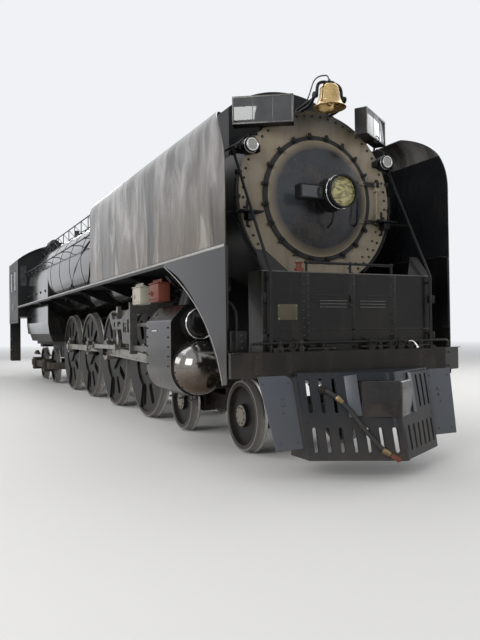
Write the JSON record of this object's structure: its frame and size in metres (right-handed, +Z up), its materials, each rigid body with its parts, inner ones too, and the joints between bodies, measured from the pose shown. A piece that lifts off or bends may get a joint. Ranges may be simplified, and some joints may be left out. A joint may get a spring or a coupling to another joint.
{
  "type": "steam locomotive",
  "caption": "Full-size steam locomotive engine with four coupled driving axles, leading and trailing trucks, smoke deflectors, slotted pilot and enclosed cab.",
  "frame": {"origin": "centre of the bounding box in plan, at the level of the lowest flange tips", "axes": "+Y towards the cab, -Y towards the pilot, +X the engine's left side, +Z up"},
  "size_m": [3.212, 20.9, 4.916],
  "materials": {
    "satin_black": "satin",
    "gloss_black": "gloss",
    "tan_paint": "satin",
    "jacket_steel": "gloss",
    "deflector_sheet": "polished",
    "rod_steel": "satin",
    "polished_steel": "polished",
    "wheel_black": "satin",
    "bell_brass": "polished",
    "clear_glass": "polished",
    "lens_glass": "polished",
    "step_blue": "satin",
    "cab_green": "satin"
  },
  "bodies": {
    "root": {"air_pumps": "satin_black", "ash_pan": "satin_black", "bell": "bell_brass", "bell_yoke": "satin_black", "boiler_barrel": "jacket_steel", "boiler_domes": "satin_black", "boiler_top_fittings": "satin_black", "cab_glass": "clear_glass", "cab_interior": "cab_green", "cab_roof": "satin_black", "cab_shell": "satin_black", "cab_steps": "satin_black", "class_lamps": "satin_black", "coupler_cover": "satin_black", "crossheads": "rod_steel", "cylinder_end_covers": "polished_steel", "cylinder_saddle": "satin_black", "cylinders": "gloss_black", "engine_bed": "wheel_black", "firebox_jacket": "jacket_steel", "front_skirts": "gloss_black", "guides_and_yokes": "rod_steel", "number_boards": "satin_black", "pilot": "satin_black", "pilot_beam": "satin_black", "pilot_shield": "satin_black", "running_boards": "satin_black", "smoke_deflectors": "deflector_sheet", "smokebox_braces": "satin_black", "smokebox_drum": "satin_black", "smokebox_front_ring": "tan_paint", "stack_casing": "satin_black", "steam_pipes": "satin_black", "step_plates": "step_blue", "valve_gear": "rod_steel"},
    "driver_1": {"driver_1_wheelset": "wheel_black"},
    "driver_2": {"driver_2_wheelset": "wheel_black"},
    "driver_3": {"driver_3_wheelset": "wheel_black"},
    "driver_4": {"driver_4_wheelset": "wheel_black"},
    "side_rod_right": {"side_rod_right": "rod_steel"},
    "side_rod_left": {"side_rod_left": "rod_steel"},
    "main_rod_right": {"main_rod_right": "rod_steel"},
    "main_rod_left": {"main_rod_left": "rod_steel"},
    "eccentric_rod_right": {"eccentric_rod_right": "rod_steel"},
    "eccentric_rod_left": {"eccentric_rod_left": "rod_steel"},
    "lead_truck": {"lead_truck_frame": "wheel_black"},
    "lead_1": {"lead_1_wheelset": "wheel_black"},
    "lead_2": {"lead_2_wheelset": "wheel_black"},
    "trailing_truck": {"trailing_truck_frame": "wheel_black"},
    "trailing_1": {"trailing_1_wheelset": "wheel_black"},
    "trailing_2": {"trailing_2_wheelset": "wheel_black"},
    "smokebox_door": {"smokebox_door": "tan_paint", "headlight": "satin_black", "headlight_lens": "lens_glass"},
    "cab_roof_hatch": {"cab_roof_hatch": "satin_black"}
  },
  "joints": [
    {"name": "driver_2_spin", "type": "hinge", "parent": "root", "child": "driver_2", "pos_m": [0, -1.965, 1.044], "axis": [1, 0, 0], "continuous": true},
    {"name": "driver_1_spin", "type": "hinge", "parent": "root", "child": "driver_1", "pos_m": [0, -4.2, 1.044], "axis": [1, 0, 0], "continuous": true},
    {"name": "driver_3_spin", "type": "hinge", "parent": "root", "child": "driver_3", "pos_m": [0, 0.27, 1.044], "axis": [1, 0, 0], "continuous": true},
    {"name": "driver_4_spin", "type": "hinge", "parent": "root", "child": "driver_4", "pos_m": [0, 2.505, 1.044], "axis": [1, 0, 0], "continuous": true},
    {"name": "side_rod_right_turn", "type": "hinge", "parent": "driver_2", "child": "side_rod_right", "pos_m": [-0.9275, -2.33296, 1.21558], "axis": [1, 0, 0], "continuous": true},
    {"name": "main_rod_right_turn", "type": "hinge", "parent": "driver_2", "child": "main_rod_right", "pos_m": [-1.05, -2.33296, 1.21558], "axis": [1, 0, 0], "continuous": true},
    {"name": "eccentric_rod_right_turn", "type": "hinge", "parent": "driver_2", "child": "eccentric_rod_right", "pos_m": [-1.215, -1.84667, 1.29777], "axis": [1, 0, 0], "continuous": true},
    {"name": "side_rod_left_turn", "type": "hinge", "parent": "driver_2", "child": "side_rod_left", "pos_m": [0.9275, -1.79342, 1.41196], "axis": [1, 0, 0], "continuous": true},
    {"name": "main_rod_left_turn", "type": "hinge", "parent": "driver_2", "child": "main_rod_left", "pos_m": [1.05, -1.79342, 1.41196], "axis": [1, 0, 0], "continuous": true},
    {"name": "eccentric_rod_left_turn", "type": "hinge", "parent": "driver_2", "child": "eccentric_rod_left", "pos_m": [1.215, -1.71123, 0.92567], "axis": [1, 0, 0], "continuous": true},
    {"name": "lead_truck_swivel", "type": "hinge", "parent": "root", "child": "lead_truck", "pos_m": [0, -7.121, 1.005], "axis": [0, 0, 1], "range_deg": [-4, 4]},
    {"name": "lead_1_spin", "type": "hinge", "parent": "lead_truck", "child": "lead_1", "pos_m": [0, -8.213, 0.485], "axis": [1, 0, 0], "continuous": true},
    {"name": "lead_2_spin", "type": "hinge", "parent": "lead_truck", "child": "lead_2", "pos_m": [0, -6.029, 0.485], "axis": [1, 0, 0], "continuous": true},
    {"name": "trailing_truck_swivel", "type": "hinge", "parent": "root", "child": "trailing_truck", "pos_m": [0, 4.001, 1.18], "axis": [0, 0, 1], "range_deg": [-3, 3]},
    {"name": "trailing_1_spin", "type": "hinge", "parent": "trailing_truck", "child": "trailing_1", "pos_m": [0, 5.305, 0.5615], "axis": [1, 0, 0], "continuous": true},
    {"name": "trailing_2_spin", "type": "hinge", "parent": "trailing_truck", "child": "trailing_2", "pos_m": [0, 7.305, 0.5615], "axis": [1, 0, 0], "continuous": true},
    {"name": "smokebox_door_swing", "type": "hinge", "parent": "root", "child": "smokebox_door", "pos_m": [0.905, -8.865, 3.254], "axis": [0, 0, 1], "range_deg": [0, 80]},
    {"name": "cab_roof_hatch_lift", "type": "hinge", "parent": "root", "child": "cab_roof_hatch", "pos_m": [0, 8.566, 4.772], "axis": [1, 0, 0], "range_deg": [0, 60]}
  ],
  "couplings": [
    {"joint": "driver_1_spin", "follows": "driver_2_spin", "ratio": 1},
    {"joint": "driver_3_spin", "follows": "driver_2_spin", "ratio": 1},
    {"joint": "driver_4_spin", "follows": "driver_2_spin", "ratio": 1},
    {"joint": "side_rod_right_turn", "follows": "driver_2_spin", "ratio": -1},
    {"joint": "main_rod_right_turn", "follows": "driver_2_spin", "ratio": -1},
    {"joint": "eccentric_rod_right_turn", "follows": "driver_2_spin", "ratio": -1},
    {"joint": "side_rod_left_turn", "follows": "driver_2_spin", "ratio": -1},
    {"joint": "main_rod_left_turn", "follows": "driver_2_spin", "ratio": -1},
    {"joint": "eccentric_rod_left_turn", "follows": "driver_2_spin", "ratio": -1}
  ]
}
